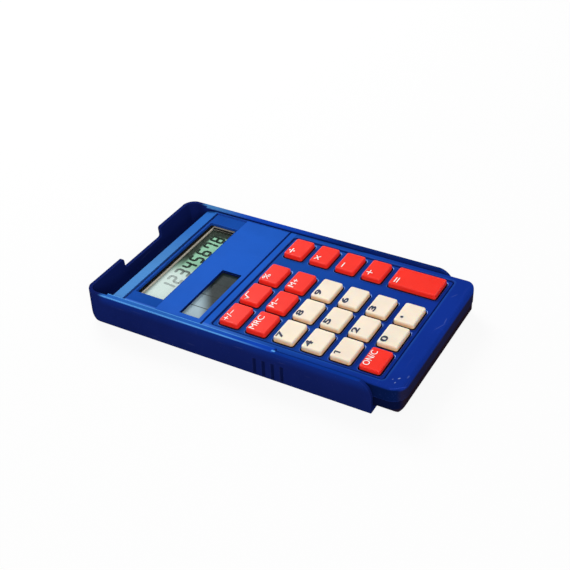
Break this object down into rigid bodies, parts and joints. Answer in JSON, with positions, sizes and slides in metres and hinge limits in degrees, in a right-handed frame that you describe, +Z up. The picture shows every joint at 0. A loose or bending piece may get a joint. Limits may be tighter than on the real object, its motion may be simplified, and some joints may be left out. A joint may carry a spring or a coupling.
{
  "type": "pocket calculator",
  "caption": "Pocket solar calculator lying in its hard slide cover: blue case with liquid crystal display, solar window, red and cream keys that press, and a cover that slides off.",
  "frame": {"origin": "on the table under the middle of the bounding box, with the cover as pictured", "axes": "+Y along the calculator towards its display end, +Z up out of the keypad"},
  "size_m": [0.07, 0.124, 0.0132],
  "materials": {
    "cover_blue": "satin moulded plastic",
    "case_blue": "fine grained moulded plastic",
    "case_low_blue": "fine grained moulded plastic",
    "face_blue": "satin",
    "clear_lens": "polished",
    "frame_beige": "matt",
    "lcd_glass": "polished",
    "solar_dark": "polished",
    "rubber_grey": "matt",
    "foam_grey": "open foam",
    "copper": "drawn wire",
    "board_green": "satin",
    "resin_black": "cast resin",
    "sleeve_blue": "shrunk sleeve",
    "diode_amber": "glass bead",
    "steel": "zinc plated",
    "key_red": "satin",
    "key_cream": "satin"
  },
  "bodies": {
    "calculator": {"top_case": "case_blue", "bottom_case": "case_low_blue", "case_screws": "steel", "face_plate": "face_blue", "display_lens": "clear_lens", "lcd_frame": "frame_beige", "lcd_panel": "lcd_glass", "lcd_strips": "rubber_grey", "solar_cell": "solar_dark", "solar_pad": "foam_grey", "solar_leads": "copper", "circuit_board": "board_green", "chip_cover": "resin_black", "capacitor": "sleeve_blue", "clamp_diode": "diode_amber", "keypad_mat": "rubber_grey"},
    "cover": {"slide_cover": "cover_blue"},
    "key_sign": {"key_sign": "key_red"},
    "key_root": {"key_root": "key_red"},
    "key_percent": {"key_percent": "key_red"},
    "key_divide": {"key_divide": "key_red"},
    "key_memory_recall": {"key_memory_recall": "key_red"},
    "key_memory_minus": {"key_memory_minus": "key_red"},
    "key_memory_plus": {"key_memory_plus": "key_red"},
    "key_times": {"key_times": "key_red"},
    "key_minus": {"key_minus": "key_red"},
    "key_plus": {"key_plus": "key_red"},
    "key_equals": {"key_equals": "key_red"},
    "key_on_clear": {"key_on_clear": "key_red"},
    "key_7": {"key_7": "key_cream"},
    "key_8": {"key_8": "key_cream"},
    "key_9": {"key_9": "key_cream"},
    "key_4": {"key_4": "key_cream"},
    "key_5": {"key_5": "key_cream"},
    "key_6": {"key_6": "key_cream"},
    "key_1": {"key_1": "key_cream"},
    "key_2": {"key_2": "key_cream"},
    "key_3": {"key_3": "key_cream"},
    "key_0": {"key_0": "key_cream"},
    "key_point": {"key_point": "key_cream"}
  },
  "joints": [
    {"name": "cover_slide", "type": "slide", "parent": "calculator", "child": "cover", "axis": [0, 1, 0], "range_m": [-0.007, 0.108]},
    {"name": "key_sign_press", "type": "slide", "parent": "calculator", "child": "key_sign", "axis": [0, 0, 1], "range_m": [-0.001, 0], "stiffness_N_per_m": 350, "springref_m": 0.001, "deforming": ["keypad_mat"]},
    {"name": "key_root_press", "type": "slide", "parent": "calculator", "child": "key_root", "axis": [0, 0, 1], "range_m": [-0.001, 0], "stiffness_N_per_m": 350, "springref_m": 0.001, "deforming": ["keypad_mat"]},
    {"name": "key_percent_press", "type": "slide", "parent": "calculator", "child": "key_percent", "axis": [0, 0, 1], "range_m": [-0.001, 0], "stiffness_N_per_m": 350, "springref_m": 0.001, "deforming": ["keypad_mat"]},
    {"name": "key_divide_press", "type": "slide", "parent": "calculator", "child": "key_divide", "axis": [0, 0, 1], "range_m": [-0.001, 0], "stiffness_N_per_m": 350, "springref_m": 0.001, "deforming": ["keypad_mat"]},
    {"name": "key_memory_recall_press", "type": "slide", "parent": "calculator", "child": "key_memory_recall", "axis": [0, 0, 1], "range_m": [-0.001, 0], "stiffness_N_per_m": 350, "springref_m": 0.001, "deforming": ["keypad_mat"]},
    {"name": "key_memory_minus_press", "type": "slide", "parent": "calculator", "child": "key_memory_minus", "axis": [0, 0, 1], "range_m": [-0.001, 0], "stiffness_N_per_m": 350, "springref_m": 0.001, "deforming": ["keypad_mat"]},
    {"name": "key_memory_plus_press", "type": "slide", "parent": "calculator", "child": "key_memory_plus", "axis": [0, 0, 1], "range_m": [-0.001, 0], "stiffness_N_per_m": 350, "springref_m": 0.001, "deforming": ["keypad_mat"]},
    {"name": "key_times_press", "type": "slide", "parent": "calculator", "child": "key_times", "axis": [0, 0, 1], "range_m": [-0.001, 0], "stiffness_N_per_m": 350, "springref_m": 0.001, "deforming": ["keypad_mat"]},
    {"name": "key_minus_press", "type": "slide", "parent": "calculator", "child": "key_minus", "axis": [0, 0, 1], "range_m": [-0.001, 0], "stiffness_N_per_m": 350, "springref_m": 0.001, "deforming": ["keypad_mat"]},
    {"name": "key_plus_press", "type": "slide", "parent": "calculator", "child": "key_plus", "axis": [0, 0, 1], "range_m": [-0.001, 0], "stiffness_N_per_m": 350, "springref_m": 0.001, "deforming": ["keypad_mat"]},
    {"name": "key_equals_press", "type": "slide", "parent": "calculator", "child": "key_equals", "axis": [0, 0, 1], "range_m": [-0.001, 0], "stiffness_N_per_m": 350, "springref_m": 0.001, "deforming": ["keypad_mat"]},
    {"name": "key_on_clear_press", "type": "slide", "parent": "calculator", "child": "key_on_clear", "axis": [0, 0, 1], "range_m": [-0.001, 0], "stiffness_N_per_m": 350, "springref_m": 0.001, "deforming": ["keypad_mat"]},
    {"name": "key_7_press", "type": "slide", "parent": "calculator", "child": "key_7", "axis": [0, 0, 1], "range_m": [-0.001, 0], "stiffness_N_per_m": 350, "springref_m": 0.001, "deforming": ["keypad_mat"]},
    {"name": "key_8_press", "type": "slide", "parent": "calculator", "child": "key_8", "axis": [0, 0, 1], "range_m": [-0.001, 0], "stiffness_N_per_m": 350, "springref_m": 0.001, "deforming": ["keypad_mat"]},
    {"name": "key_9_press", "type": "slide", "parent": "calculator", "child": "key_9", "axis": [0, 0, 1], "range_m": [-0.001, 0], "stiffness_N_per_m": 350, "springref_m": 0.001, "deforming": ["keypad_mat"]},
    {"name": "key_4_press", "type": "slide", "parent": "calculator", "child": "key_4", "axis": [0, 0, 1], "range_m": [-0.001, 0], "stiffness_N_per_m": 350, "springref_m": 0.001, "deforming": ["keypad_mat"]},
    {"name": "key_5_press", "type": "slide", "parent": "calculator", "child": "key_5", "axis": [0, 0, 1], "range_m": [-0.001, 0], "stiffness_N_per_m": 350, "springref_m": 0.001, "deforming": ["keypad_mat"]},
    {"name": "key_6_press", "type": "slide", "parent": "calculator", "child": "key_6", "axis": [0, 0, 1], "range_m": [-0.001, 0], "stiffness_N_per_m": 350, "springref_m": 0.001, "deforming": ["keypad_mat"]},
    {"name": "key_1_press", "type": "slide", "parent": "calculator", "child": "key_1", "axis": [0, 0, 1], "range_m": [-0.001, 0], "stiffness_N_per_m": 350, "springref_m": 0.001, "deforming": ["keypad_mat"]},
    {"name": "key_2_press", "type": "slide", "parent": "calculator", "child": "key_2", "axis": [0, 0, 1], "range_m": [-0.001, 0], "stiffness_N_per_m": 350, "springref_m": 0.001, "deforming": ["keypad_mat"]},
    {"name": "key_3_press", "type": "slide", "parent": "calculator", "child": "key_3", "axis": [0, 0, 1], "range_m": [-0.001, 0], "stiffness_N_per_m": 350, "springref_m": 0.001, "deforming": ["keypad_mat"]},
    {"name": "key_0_press", "type": "slide", "parent": "calculator", "child": "key_0", "axis": [0, 0, 1], "range_m": [-0.001, 0], "stiffness_N_per_m": 350, "springref_m": 0.001, "deforming": ["keypad_mat"]},
    {"name": "key_point_press", "type": "slide", "parent": "calculator", "child": "key_point", "axis": [0, 0, 1], "range_m": [-0.001, 0], "stiffness_N_per_m": 350, "springref_m": 0.001, "deforming": ["keypad_mat"]}
  ]
}
